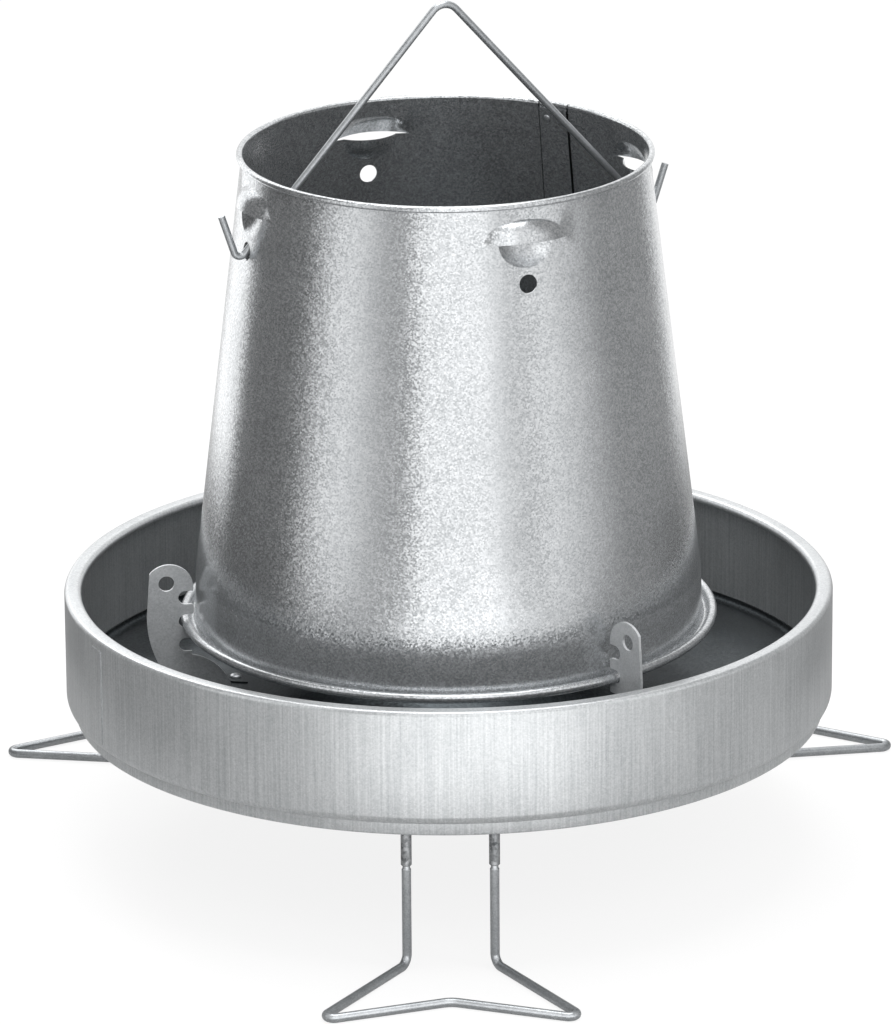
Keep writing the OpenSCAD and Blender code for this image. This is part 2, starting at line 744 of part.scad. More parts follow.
// One leg: two uprights, a bird's-foot loop on the ground and two prongs in their sockets
module leg(turn) {
    corner_r = leg_r + foot_reach;
    side_points = [
        [leg_r, upright_half, leg_shoulder_z - shoulder_round],
        [leg_r, upright_half, leg_wire_r],
        [corner_r + foot_corner_bend, foot_span / 2 + foot_corner_bend, leg_wire_r]
    ];
    mirrored = [for (i = [2 : -1 : 0]) [side_points[i].x, -side_points[i].y, side_points[i].z]];
    points = concat(side_points, [[corner_r - foot_draw, 0, leg_wire_r]], mirrored);
    bends = [ankle_bend, foot_corner_bend, foot_middle_bend, foot_corner_bend, ankle_bend];
    color(bright_zinc) at_azimuth(turn) {
        bent_wire(points, bends, leg_wire_r);
        for (side = [-1, 1]) translate([leg_r, side * upright_half, 0]) leg_prong();
    }
}

// Rounded shoulder and thin prong on top of an upright
module leg_prong() {
    prong_top_z = socket_plate_z - prong_end_gap;
    rotate_extrude() polygon([
        [0, leg_shoulder_z - shoulder_round],
        [leg_wire_r, leg_shoulder_z - shoulder_round],
        [prong_r, leg_shoulder_z],
        [prong_r, prong_top_z - shoulder_round],
        [prong_r - shoulder_round, prong_top_z],
        [0, prong_top_z]
    ]);
}

pan_wall();
pan_base();
feed_cone();
cone_rivets();
height_bracket(bracket_turns[0]);  // height_bracket_left
height_bracket(bracket_turns[1]);  // height_bracket_right
height_bracket(bracket_turns[2]);  // height_bracket_rear
bracket_rivets();
socket_plate(leg_turns[0]);  // socket_plate_front
socket_plate(leg_turns[1]);  // socket_plate_rear_left
socket_plate(leg_turns[2]);  // socket_plate_rear_right
socket_tubes(leg_turns[0]);  // socket_tubes_front
socket_tubes(leg_turns[1]);  // socket_tubes_rear_left
socket_tubes(leg_turns[2]);  // socket_tubes_rear_right
hopper_shell();
hopper_rim_wire();
hopper_hem_wire();
hopper_seam_rivets();
bail();
leg(leg_turns[0]);  // leg_front
leg(leg_turns[1]);  // leg_rear_left
leg(leg_turns[2]);  // leg_rear_right
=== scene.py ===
import json
from math import cos, pi, radians, sin, sqrt, tan

import bmesh
import bpy
from mathutils import Matrix, Vector


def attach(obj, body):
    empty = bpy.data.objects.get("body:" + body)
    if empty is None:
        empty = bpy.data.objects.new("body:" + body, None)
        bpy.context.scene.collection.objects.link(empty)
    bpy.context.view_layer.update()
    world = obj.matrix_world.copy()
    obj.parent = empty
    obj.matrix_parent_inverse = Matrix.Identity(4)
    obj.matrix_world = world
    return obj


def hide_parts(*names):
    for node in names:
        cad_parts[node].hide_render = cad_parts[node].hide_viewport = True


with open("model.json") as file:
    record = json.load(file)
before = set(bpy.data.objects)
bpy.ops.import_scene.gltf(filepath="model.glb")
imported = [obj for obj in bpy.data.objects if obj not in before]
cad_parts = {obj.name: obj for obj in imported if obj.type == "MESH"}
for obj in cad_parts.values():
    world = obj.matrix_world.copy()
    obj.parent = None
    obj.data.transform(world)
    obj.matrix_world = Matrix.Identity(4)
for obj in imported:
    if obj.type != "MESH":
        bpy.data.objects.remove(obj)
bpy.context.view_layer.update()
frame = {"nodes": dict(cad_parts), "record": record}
print("frame loaded:", len(frame["nodes"]), "nodes")

mm = 0.001
weldWithin = 0.001 * mm  # points closer than this become one


# From an sRGB hex code to the linear colour that nodes take
def hexColour(code):
    parts = [int(code[i:i + 2], 16) / 255 for i in (1, 3, 5)]
    linear = [p / 12.92 if p <= 0.04045 else ((p + 0.055) / 1.055) ** 2.4 for p in parts]
    return tuple(linear) + (1.0,)


def addNode(tree, kind, settings=None, inputs=None, links=None):
    node = tree.nodes.new(kind)
    for key, value in (settings or {}).items():
        setattr(node, key, value)
    for key, value in (inputs or {}).items():
        node.inputs[key].default_value = value
    for key, source in (links or {}).items():
        tree.links.new(source, node.inputs[key])
    return node


def emptyTree(owner):
    owner.use_nodes = True
    owner.node_tree.nodes.clear()
    return owner.node_tree


def addObject(name, data):
    obj = bpy.data.objects.new(name, data)
    bpy.context.scene.collection.objects.link(obj)
    return obj


# A point at an azimuth from the front, so many millimetres outwards, sideways and up
def outward(azimuth, out, side=0.0, z=0.0):
    a = radians(azimuth)
    return Vector((out * sin(a) + side * cos(a), -out * cos(a) + side * sin(a), z)) * mm


# Every finish here is zinc on steel. Its crystals lie at slightly different angles, so
# neighbouring grains catch different parts of the room: that is the salt-and-pepper speckle.
# Grains and streaks are drawn a little coarser than the real ones, so that they show.
# tilt is how far a grain leans; patch and streak are their shares of the pattern.
zincLooks = {
    # Hot-dip galvanised sheet, rolled into a cone: bright, with clear grains
    "hotDipHopperSheet": {
        "dark": "#a2a5a7", "light": "#d4d6d8", "metallic": 0.84, "rough": 0.21, "roughSpan": 0.10,
        "grainMm": 0.85, "tilt": 0.09, "patchMm": 30, "patch": 0.25, "bump": 0.25, "bumpMm": 0.05,
        "streakMm": 60, "streak": 0.05},
    # The same sheet where the collar and hem were pressed: grains flattened, more even
    "pressedCollarSheet": {
        "dark": "#a6a9ab", "light": "#d2d4d6", "metallic": 0.78, "rough": 0.25, "roughSpan": 0.10,
        "grainMm": 0.85, "tilt": 0.07, "patchMm": 30, "patch": 0.30, "bump": 0.20, "bumpMm": 0.05},
    # Galvanised sheet drawn through rollers: fine upright streaks
    "rolledPanSheet": {
        "dark": "#9b9ea0", "light": "#cacccd", "metallic": 0.58, "rough": 0.30, "roughSpan": 0.08,
        "grainMm": 0.8, "tilt": 0.015, "patchMm": 45, "patch": 0.45, "bump": 0.08, "bumpMm": 0.02,
        "streakMm": 1.1, "streak": 0.50},
    # The pan's floor and the feed cone: their colour is darkened to paint the shade inside the pan
    "floorSheetPaintedShade": {
        "dark": "#2f3335", "light": "#4d5255", "metallic": 0.90, "rough": 0.36, "roughSpan": 0.16,
        "grainMm": 1.1, "tilt": 0.10, "patchMm": 30, "patch": 0.45, "bump": 0.20, "bumpMm": 0.04},
    # Stamped plate with a thin even zinc coat: flat light grey
    "stampedPlate": {
        "dark": "#acafb1", "light": "#c6c8ca", "metallic": 0.25, "rough": 0.46, "roughSpan": 0.10,
        "grainMm": 0.8, "tilt": 0.06, "patchMm": 12, "patch": 0.50, "bump": 0.15, "bumpMm": 0.03},
    # Drawn wire, galvanised before bending: smooth, with little tilt
    "drawnWire": {
        "dark": "#94979a", "light": "#b3b6b8", "metallic": 0.72, "rough": 0.30, "roughSpan": 0.10,
        "grainMm": 0.7, "tilt": 0.03, "patchMm": 12, "patch": 0.50, "bump": 0.10, "bumpMm": 0.02},
    # Socket tubes dipped after cutting: blotched and duller
    "dippedTube": {
        "dark": "#595c5e", "light": "#b4b6b8", "metallic": 0.80, "rough": 0.38, "roughSpan": 0.18,
        "grainMm": 1.6, "tilt": 0.18, "patchMm": 4, "patch": 0.60, "bump": 0.45, "bumpMm": 0.10},
    # Cold-headed rivets: small grains, a little glossier than the plate
    "headedRivet": {
        "dark": "#94979a", "light": "#c4c6c8", "metallic": 0.80, "rough": 0.33, "roughSpan": 0.12,
        "grainMm": 0.6, "tilt": 0.08, "patchMm": 4, "patch": 0.35, "bump": 0.15, "bumpMm": 0.03},
}
# Shared by all finishes: how wide the fine noise is against a grain, how long a streak is
# against its width, and where the pattern reaches its dark and its light colour
zincPattern = {"fineWidth": 1.3, "streakLength": 60, "darkAt": 0.30, "lightAt": 0.70}
# Painted shade: dark lines in the hopper sheet's colour where the folded seam's edges lie in shadow
hopperSeam = {"azimuth": 147, "halfAngle": 4.8, "lineAngle": 0.22, "lowMm": 162,
              "colour": "#26282a"}


# The angle round the Z axis, nought at the front, and the height
def azimuthAndHeight(tree):
    coord = addNode(tree, "ShaderNodeTexCoord").outputs["Object"]
    parts = addNode(tree, "ShaderNodeSeparateXYZ", links={0: coord})
    front = addNode(tree, "ShaderNodeMath", {"operation": "MULTIPLY"}, {1: -1.0},
                    {0: parts.outputs["Y"]})
    turn = addNode(tree, "ShaderNodeMath", {"operation": "ARCTAN2"},
                   links={0: parts.outputs["X"], 1: front.outputs[0]})
    return turn.outputs[0], parts.outputs["Z"]


# Paints shade into a colour: darkens it along the seam's two edges, above the lowest height
def paintedSeamShade(tree, colour, seam):
    turn, height = azimuthAndHeight(tree)
    fromMiddle = addNode(tree, "ShaderNodeMath", {"operation": "SUBTRACT"},
                         {1: radians(seam["azimuth"])}, {0: turn})
    side = addNode(tree, "ShaderNodeMath", {"operation": "ABSOLUTE"},
                   links={0: fromMiddle.outputs[0]})
    atEdge = addNode(tree, "ShaderNodeMath", {"operation": "COMPARE"},
                     {1: radians(seam["halfAngle"]), 2: radians(seam["lineAngle"])},
                     {0: side.outputs[0]})
    above = addNode(tree, "ShaderNodeMath", {"operation": "GREATER_THAN"},
                    {1: seam["lowMm"] * mm}, {0: height})
    line = addNode(tree, "ShaderNodeMath", {"operation": "MULTIPLY"},
                   links={0: atEdge.outputs[0], 1: above.outputs[0]})
    mix = addNode(tree, "ShaderNodeMix", {"data_type": "RGBA"}, {7: hexColour(seam["colour"])},
                  {0: line.outputs[0], 6: colour})
    return mix.outputs[2]


def makeZinc(name, looks, seam=None):
    mat = bpy.data.materials.new(name)
    tree = emptyTree(mat)
    coord = addNode(tree, "ShaderNodeTexCoord").outputs["Object"]
    # Voronoi cells are the grains: the scale counts them in a metre
    grain = addNode(tree, "ShaderNodeTexVoronoi", inputs={"Scale": 1 / (looks["grainMm"] * mm)},
                    links={"Vector": coord})
    grainGrey = addNode(tree, "ShaderNodeSeparateColor", links={"Color": grain.outputs["Color"]})
    fineWidth = looks["grainMm"] * zincPattern["fineWidth"] * mm
    fine = addNode(tree, "ShaderNodeTexNoise",
                   inputs={"Scale": 1 / fineWidth, "Detail": 4.0, "Roughness": 0.7},
                   links={"Vector": coord})
    patch = addNode(tree, "ShaderNodeTexNoise",
                    inputs={"Scale": 1 / (looks["patchMm"] * mm), "Detail": 5.0, "Roughness": 0.6},
                    links={"Vector": coord})
    speck = addNode(tree, "ShaderNodeMix", inputs={0: 0.5},
                    links={2: grainGrey.outputs["Red"], 3: fine.outputs["Fac"]})
    withPatch = addNode(tree, "ShaderNodeMix", inputs={0: looks["patch"]},
                        links={2: speck.outputs[0], 3: patch.outputs["Fac"]})
    pattern = withPatch.outputs[0]
    if "streak" in looks:
        # Streaks run up and down the sheet
        across = 1 / (looks["streakMm"] * mm)
        along = across / zincPattern["streakLength"]
        tall = addNode(tree, "ShaderNodeMapping", inputs={"Scale": (across, across, along)},
                       links={"Vector": coord})
        streak = addNode(tree, "ShaderNodeTexNoise",
                         inputs={"Scale": 1.0, "Detail": 3.0, "Roughness": 0.6},
                         links={"Vector": tall.outputs["Vector"]})
        withStreak = addNode(tree, "ShaderNodeMix", inputs={0: looks["streak"]},
                             links={2: pattern, 3: streak.outputs["Fac"]})
        pattern = withStreak.outputs[0]
    ramp = addNode(tree, "ShaderNodeValToRGB", links={"Fac": pattern})
    for stop, shade in zip(ramp.color_ramp.elements, ("dark", "light")):
        stop.position = zincPattern[shade + "At"]
        stop.color = hexColour(looks[shade])
    colour = ramp.outputs["Color"]
    # Painted shade along the seam's edges, where settings for it are given
    if seam:
        colour = paintedSeamShade(tree, colour, seam)
    halfSpan = looks["roughSpan"] / 2
    rough = addNode(tree, "ShaderNodeMapRange",
                    inputs={"To Min": looks["rough"] - halfSpan,
                            "To Max": looks["rough"] + halfSpan},
                    links={"Value": pattern})
    # Each grain leans its own way
    lean = addNode(tree, "ShaderNodeVectorMath", {"operation": "SUBTRACT"}, {1: (0.5, 0.5, 0.5)},
                   {0: grain.outputs["Color"]})
    leanBy = addNode(tree, "ShaderNodeVectorMath", {"operation": "SCALE"},
                     {"Scale": looks["tilt"]}, {0: lean.outputs["Vector"]})
    surface = addNode(tree, "ShaderNodeNewGeometry")
    leaning = addNode(tree, "ShaderNodeVectorMath", {"operation": "ADD"},
                      links={0: surface.outputs["Normal"], 1: leanBy.outputs["Vector"]})
    normal = addNode(tree, "ShaderNodeVectorMath", {"operation": "NORMALIZE"},
                     links={0: leaning.outputs["Vector"]})
    bump = addNode(tree, "ShaderNodeBump",
                   inputs={"Strength": looks["bump"], "Distance": looks["bumpMm"] * mm},
                   links={"Height": pattern, "Normal": normal.outputs["Vector"]})
    shader = addNode(tree, "ShaderNodeBsdfPrincipled", inputs={"Metallic": looks["metallic"]},
                     links={"Base Color": colour, "Roughness": rough.outputs["Result"],
                            "Normal": bump.outputs["Normal"]})
    addNode(tree, "ShaderNodeOutputMaterial", links={"Surface": shader.outputs["BSDF"]})
    return mat


# The hopper sheet gets the painted seam shade
zinc = {name: makeZinc(name, looks, hopperSeam if name == "hotDipHopperSheet" else None)
        for name, looks in zincLooks.items()}
print("materials made:", len(zinc))

bodies = frame["record"]["behaviour"]["bodies"]
bodyOf = {node: body for body, nodes in bodies.items() for node in nodes}
sharpFrom = 32  # degrees between faces from which an edge stays crisp


def finishPiece(mesh, nodeName):
    mesh.shade_smooth()
    mesh.set_sharp_from_angle(angle=radians(sharpFrom))
    piece = addObject(nodeName + "_piece", mesh)
    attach(piece, bodyOf[nodeName])
    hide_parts(nodeName)


# Geometry Nodes: every tree takes named inputs, and its result becomes a plain mesh
def startTree(name, sizes):
    tree = bpy.data.node_groups.new(name, "GeometryNodeTree")
    sockets = {"Geometry": "NodeSocketGeometry", **sizes, "Material": "NodeSocketMaterial"}
    for label, kind in sockets.items():
        tree.interface.new_socket(label, in_out="INPUT", socket_type=kind)
    tree.interface.new_socket("Geometry", in_out="OUTPUT", socket_type="NodeSocketGeometry")
    return tree, addNode(tree, "NodeGroupInput")


def endTree(tree, given, shape):
    real = addNode(tree, "GeometryNodeRealizeInstances", links={"Geometry": shape})
    welded = addNode(tree, "GeometryNodeMergeByDistance", inputs={"Distance": weldWithin},
                     links={"Geometry": real.outputs["Geometry"]})
    painted = addNode(tree, "GeometryNodeSetMaterial",
                      links={"Geometry": welded.outputs["Geometry"],
                             "Material": given.outputs["Material"]})
    addNode(tree, "NodeGroupOutput", links={"Geometry": painted.outputs["Geometry"]})
    return tree


def growMesh(tree, points, edges, values, attributes=None):
    start = bpy.data.meshes.new("start")
    start.from_pydata([tuple(p) for p in points], edges, [])
    for label, (kind, data) in (attributes or {}).items():
        layer = start.attributes.new(label, kind, "POINT")
        field = "value" if kind == "FLOAT" else "vector"
        for item, value in zip(layer.data, data):
            setattr(item, field, value)
    holder = addObject("holder", start)
    modifier = holder.modifiers.new("grow", "NODES")
    modifier.node_group = tree
    for item in tree.interface.items_tree:
        if item.in_out == "INPUT" and item.name in values:
            modifier[item.identifier] = values[item.name]
    evaluated = holder.evaluated_get(bpy.context.evaluated_depsgraph_get())
    grown = bpy.data.meshes.new_from_object(evaluated)
    holder.modifiers.remove(modifier)
    bpy.data.objects.remove(holder)
    return grown


def faceOutwards(mesh):
    bm = bmesh.new()
    bm.from_mesh(mesh)
    bmesh.ops.recalc_face_normals(bm, faces=bm.faces)
    bm.to_mesh(mesh)
    bm.free()


def joinMeshes(meshes):
    bm = bmesh.new()
    for mesh in meshes:
        bm.from_mesh(mesh)
    joined = meshes[0]
    bm.to_mesh(joined)
    bm.free()
    return joined


# Spinning: a profile of (radius, height) points is carried round the Z axis
def makeSpinTree():
    tree, given = startTree("spinProfile", {"Steps": "NodeSocketInt",
                                            "Path Radius": "NodeSocketFloat"})
    circle = addNode(tree, "GeometryNodeCurvePrimitiveCircle",
                     links={"Resolution": given.outputs["Steps"],
                            "Radius": given.outputs["Path Radius"]})
    back = addNode(tree, "ShaderNodeMath", {"operation": "MULTIPLY"}, {1: -1.0},
                   {0: given.outputs["Path Radius"]})
    shift = addNode(tree, "ShaderNodeCombineXYZ", links={"X": back.outputs[0]})
    moved = addNode(tree, "GeometryNodeTransform",
                    links={"Geometry": given.outputs["Geometry"],
                           "Translation": shift.outputs["Vector"]})
    profile = addNode(tree, "GeometryNodeMeshToCurve", links={"Mesh": moved.outputs["Geometry"]})
    spun = addNode(tree, "GeometryNodeCurveToMesh",
                   links={"Curve": circle.outputs["Curve"],
                          "Profile Curve": profile.outputs["Curve"]})
    return endTree(tree, given, spun.outputs["Mesh"])


spinTree = makeSpinTree()


def spin(profilePoints, closed, matName, steps, pathRadius):
    count = len(profilePoints)
    edges = [(i, i + 1) for i in range(count - 1)] + ([(count - 1, 0)] if closed else [])
    # The tree lays a profile's second axis downwards, so heights go in with their sign turned
    points = [(r * mm, -z * mm, 0) for r, z in profilePoints]
    mesh = growMesh(spinTree, points, edges, {"Steps": steps, "Path Radius": pathRadius * mm,
                                              "Material": zinc[matName]})
    faceOutwards(mesh)
    return mesh


# Points of an arc round (cx, cz), from one angle to another in degrees
def arc(cx, cz, r, start, end, steps=10):
    turns = [radians(start + (end - start) * i / steps) for i in range(steps + 1)]
    return [(cx + r * cos(t), cz + r * sin(t)) for t in turns]


# Wires: a path of corners, each with its bend, is rounded and given a round section
def makeWireTree():
    tree, given = startTree("bentWire", {"Wire Radius": "NodeSocketFloat",
                                         "Sides": "NodeSocketInt",
                                         "Bend Steps": "NodeSocketInt"})
    path = addNode(tree, "GeometryNodeMeshToCurve", links={"Mesh": given.outputs["Geometry"]})
    bendSize = addNode(tree, "GeometryNodeInputNamedAttribute", {"data_type": "FLOAT"},
                       {"Name": "bend"})
    rounded = addNode(tree, "GeometryNodeFilletCurve", {"mode": "POLY"},
                      links={"Curve": path.outputs["Curve"],
                             "Count": given.outputs["Bend Steps"],
                             "Radius": bendSize.outputs["Attribute"]})
    section = addNode(tree, "GeometryNodeCurvePrimitiveCircle",
                      links={"Resolution": given.outputs["Sides"],
                             "Radius": given.outputs["Wire Radius"]})
    drawn = addNode(tree, "GeometryNodeCurveToMesh", inputs={"Fill Caps": True},
                    links={"Curve": rounded.outputs["Curve"],
                           "Profile Curve": section.outputs["Curve"]})
    return endTree(tree, given, drawn.outputs["Mesh"])


wireTree = makeWireTree()
wireMesh = {"sides": 24, "bendSteps": 12}


def bendWire(corners, bends, radius, matName):
    mesh = growMesh(wireTree, corners, [(i, i + 1) for i in range(len(corners) - 1)],
                    {"Wire Radius": radius * mm, "Sides": wireMesh["sides"],
                     "Bend Steps": wireMesh["bendSteps"], "Material": zinc[matName]},
                    {"bend": ("FLOAT", [b * mm for b in bends])})
    faceOutwards(mesh)
    return mesh


# The closing head's size against the dome's
closingHead = {"width": 0.85, "height": 0.5}


# Rivets: one domed head and one flat closing head stand on every point, along its facing
def makeRivetTree():
    tree, given = startTree("rivets", {"Head Radius": "NodeSocketFloat",
                                       "Head Height": "NodeSocketFloat",
                                       "Grip": "NodeSocketFloat"})
    ball = addNode(tree, "GeometryNodeMeshUVSphere",
                   inputs={"Segments": 32, "Rings": 16, "Radius": 1.0})
    spot = addNode(tree, "GeometryNodeInputPosition")
    parts = addNode(tree, "ShaderNodeSeparateXYZ", links={0: spot.outputs["Position"]})
    wide = [addNode(tree, "ShaderNodeMath", {"operation": "MULTIPLY"},
                    links={0: parts.outputs[axis], 1: given.outputs["Head Radius"]})
            for axis in "XY"]
    high = addNode(tree, "ShaderNodeMath", {"operation": "MULTIPLY"},
                   links={0: parts.outputs["Z"], 1: given.outputs["Head Height"]})
    flat = addNode(tree, "ShaderNodeMath", {"operation": "MAXIMUM"}, {1: 0.0},
                   {0: high.outputs[0]})
    shaped = addNode(tree, "ShaderNodeCombineXYZ",
                     links={"X": wide[0].outputs[0], "Y": wide[1].outputs[0],
                            "Z": flat.outputs[0]})
    dome = addNode(tree, "GeometryNodeSetPosition",
                   links={"Geometry": ball.outputs["Mesh"], "Position": shaped.outputs["Vector"]})
    closingR = addNode(tree, "ShaderNodeMath", {"operation": "MULTIPLY"},
                       {1: closingHead["width"]}, {0: given.outputs["Head Radius"]})
    closingH = addNode(tree, "ShaderNodeMath", {"operation": "MULTIPLY"},
                       {1: closingHead["height"]}, {0: given.outputs["Head Height"]})
    closing = addNode(tree, "GeometryNodeMeshCylinder", inputs={"Vertices": 32},
                      links={"Radius": closingR.outputs[0], "Depth": closingH.outputs[0]})
    # The closing head's middle lies half its height below the grip
    gripDown = addNode(tree, "ShaderNodeMath", {"operation": "MULTIPLY"}, {1: -1.0},
                       {0: given.outputs["Grip"]})
    under = addNode(tree, "ShaderNodeMath", {"operation": "MULTIPLY_ADD"}, {1: -0.5},
                    {0: closingH.outputs[0], 2: gripDown.outputs[0]})
    down = addNode(tree, "ShaderNodeCombineXYZ", links={"Z": under.outputs[0]})
    placed = addNode(tree, "GeometryNodeTransform",
                     links={"Geometry": closing.outputs["Mesh"],
                            "Translation": down.outputs["Vector"]})
    rivet = addNode(tree, "GeometryNodeJoinGeometry")
    for head in (dome, placed):
        tree.links.new(head.outputs["Geometry"], rivet.inputs[0])
    facing = addNode(tree, "GeometryNodeInputNamedAttribute", {"data_type": "FLOAT_VECTOR"},
                     {"Name": "facing"})
    turned = addNode(tree, "FunctionNodeAlignRotationToVector", {"axis": "Z"},
                     links={"Vector": facing.outputs["Attribute"]})
    stood = addNode(tree, "GeometryNodeInstanceOnPoints",
                    links={"Points": given.outputs["Geometry"], "Instance": rivet.outputs[0],
                           "Rotation": turned.outputs["Rotation"]})
    return endTree(tree, given, stood.outputs["Instances"])


rivetTree = makeRivetTree()


def setRivets(nodeName, places, facings, sizes):
    mesh = growMesh(rivetTree, places, [],
                    {"Head Radius": sizes["headR"] * mm, "Head Height": sizes["headH"] * mm,
                     "Grip": sizes["grip"] * mm, "Material": zinc["headedRivet"]},
                    {"facing": ("FLOAT_VECTOR", [tuple(f) for f in facings])})
    faceOutwards(mesh)
    finishPiece(mesh, nodeName)


print("trees made")

# Pan, in millimetres: flat rolled rim, upright wall, round corner and folded foot lip
pan = {
    "wallR": 210.0, "sheet": 0.8, "steps": 720,
    "rollR": 2.6, "rollOuter": 207.4, "rollInner": 203.2, "rollZ": 144.8,
    "wallMeetsRollZ": 142.92, "wallMeetsRollTurn": -52,
    "cornerR": 5.0, "cornerZ": 89.0, "cornerX": 205.0, "cornerEndTurn": -85,
    "lipOuter": 205.4, "lipInner": 203.4, "lipTop": 84.0, "foldR": 1.0, "foldZ": 78.2,
    "seatR": 204.6, "seatZ": 84.8,  # where the lip's inner edge meets the sheet again
}
innerWall = pan["wallR"] - pan["sheet"]
lipMeets = pan["cornerZ"] - sqrt(pan["cornerR"] ** 2 - (pan["lipOuter"] - pan["cornerX"]) ** 2)
wallProfile = (
    arc(pan["rollOuter"], pan["rollZ"], pan["rollR"], 90, 0)
    + arc(pan["cornerX"], pan["cornerZ"], pan["cornerR"], 0, pan["cornerEndTurn"], steps=14)
    + [(pan["lipOuter"], lipMeets)]
    + arc(pan["lipOuter"] - pan["foldR"], pan["foldZ"], pan["foldR"], 0, -180)
    + [(pan["lipInner"], pan["lipTop"]), (pan["seatR"], pan["lipTop"]),
       (pan["seatR"], pan["seatZ"])]
    + arc(pan["cornerX"], pan["cornerZ"], pan["cornerR"] - pan["sheet"], -90, 0, steps=12)
    + [(innerWall, pan["wallMeetsRollZ"])]
    + arc(pan["rollOuter"], pan["rollZ"], pan["rollR"], pan["wallMeetsRollTurn"], -90, steps=4)
    + arc(pan["rollInner"], pan["rollZ"], pan["rollR"], -90, -270, steps=18)
)
wallMesh = spin(wallProfile, True, "rolledPanSheet", pan["steps"], pan["wallR"])

# The band's end, lapped over its start: it stands a little proud of the wall
lap = {"azimuth": -64, "width": 11.0, "rise": 0.5, "sunk": 0.4, "low": 89.0, "high": 142.2,
       "steps": 12}
lapHalf = lap["width"] / pan["wallR"] * 90 / pi  # half its width, in degrees
lapIn, lapOut = innerWall + lap["sunk"], pan["wallR"] + lap["rise"]
lapRing = [(lapIn, lap["low"]), (lapOut, lap["low"]), (lapOut, lap["high"]), (lapIn, lap["high"])]
lapPoints = [outward(lap["azimuth"] - lapHalf + 2 * lapHalf * i / lap["steps"], r, z=z)
             for i in range(lap["steps"] + 1) for r, z in lapRing]
lapFaces = [(4 * i + k, 4 * i + (k + 1) % 4, 4 * i + 4 + (k + 1) % 4, 4 * i + 4 + k)
            for i in range(lap["steps"]) for k in range(4)]
lapFaces += [(3, 2, 1, 0), tuple(4 * lap["steps"] + k for k in range(4))]
lapMesh = bpy.data.meshes.new("lap")
lapMesh.from_pydata([tuple(p) for p in lapPoints], [], lapFaces)
faceOutwards(lapMesh)
finishPiece(joinMeshes([wallMesh, lapMesh]), "pan_wall")

# The floor sheet, with rings across its flat part to keep its faces short
base = {"floorZ": 85.7, "rings": (60.0, 140.0), "cornerR": 4.1, "flangeInner": 208.3,
        "flangeOuter": 209.1, "flangeTop": 89.6, "steps": 360, "pathR": 100.0}
underZ = base["floorZ"] - pan["sheet"]
baseProfile = (
    [(r, base["floorZ"]) for r in (0.0,) + base["rings"]]
    + arc(pan["cornerX"], pan["cornerZ"], base["cornerR"] - pan["sheet"], -90, 0)
    + [(base["flangeInner"], base["flangeTop"]), (base["flangeOuter"], base["flangeTop"])]
    + arc(pan["cornerX"], pan["cornerZ"], base["cornerR"], 0, -90)
    + [(r, underZ) for r in base["rings"][::-1] + (0.0,)]
)
# The floor sheet's colour carries painted shade
finishPiece(spin(baseProfile, False, "floorSheetPaintedShade", base["steps"], base["pathR"]), "pan_base")
print("pan made")

# Rivets of the bracket feet, the feed cone and the hopper's seam, in millimetres and degrees
footRivets = {"headR": 3.5, "headH": 1.8, "grip": 2.3, "azimuths": (-82, 38, 158),
              "outs": (125.2, 135.2), "side": -12.1, "z": 87.2}
coneRivets = {"headR": 3.5, "headH": 1.8, "grip": 1.6, "azimuths": (-98, 22, 142), "out": 119,
              "z": 86.5}
seamRivets = {"headR": 1.9, "headH": 0.8, "grip": 2.0, "halfApart": 2.1, "z": 383.5, "depth": 2.0}
hopper = {"neckR": 109.6, "rimZ": 390.7, "taper": 6.93}
up = Vector((0, 0, 1))
footPlaces = [outward(azimuth, out, footRivets["side"], footRivets["z"])
              for azimuth in footRivets["azimuths"] for out in footRivets["outs"]]
setRivets("bracket_rivets", footPlaces, [up] * len(footPlaces), footRivets)
conePlaces = [outward(azimuth, coneRivets["out"], z=coneRivets["z"])
              for azimuth in coneRivets["azimuths"]]
setRivets("cone_rivets", conePlaces, [up] * len(conePlaces), coneRivets)
taper = radians(hopper["taper"])
seamR = hopper["neckR"] + (hopper["rimZ"] - seamRivets["z"]) * tan(taper)
seamPlaces, seamFacings = [], []
for sideways in (-seamRivets["halfApart"], seamRivets["halfApart"]):
    azimuth = hopperSeam["azimuth"] + sideways
    outOfWall = outward(azimuth, cos(taper), z=sin(taper)).normalized()
    onWall = outward(azimuth, seamR, z=seamRivets["z"])
    seamPlaces.append(onWall - outOfWall * seamRivets["depth"] * mm)
    seamFacings.append(-outOfWall)
setRivets("hopper_seam_rivets", seamPlaces, seamFacings, seamRivets)
print("rivets made")

# Bail, in the upright plane through its two holes, in millimetres and degrees
bail = {"azimuth": 112, "wireR": 2.0, "axisZ": 349.276, "legRise": 127.5, "slant": 48.1239,
        "topBend": 9.0, "hookBend": 3.5, "hookRoom": 1.5, "tipRise": 20.5, "tipLean": 18.5}
slant = radians(bail["slant"])
holeR = bail["legRise"] / tan(slant)
hookCut = bail["hookBend"] * tan((slant + radians(90 - bail["tipLean"])) / 2)
hookR = holeR + bail["hookRoom"] + hookCut * cos(slant)
hookZ = bail["axisZ"] - (hookR - holeR) * tan(slant)
tipZ = bail["axisZ"] + bail["tipRise"]
tipR = hookR + (tipZ - hookZ) * tan(radians(bail["tipLean"]))
topZ = bail["axisZ"] + bail["legRise"]
bailPath = [(-tipR, tipZ), (-hookR, hookZ), (0, topZ), (hookR, hookZ), (tipR, tipZ)]
bailBends = [0, bail["hookBend"], bail["topBend"], bail["hookBend"], 0]
bailCorners = [outward(bail["azimuth"], r, z=z) for r, z in bailPath]
finishPiece(bendWire(bailCorners, bailBends, bail["wireR"], "drawnWire"), "bail")

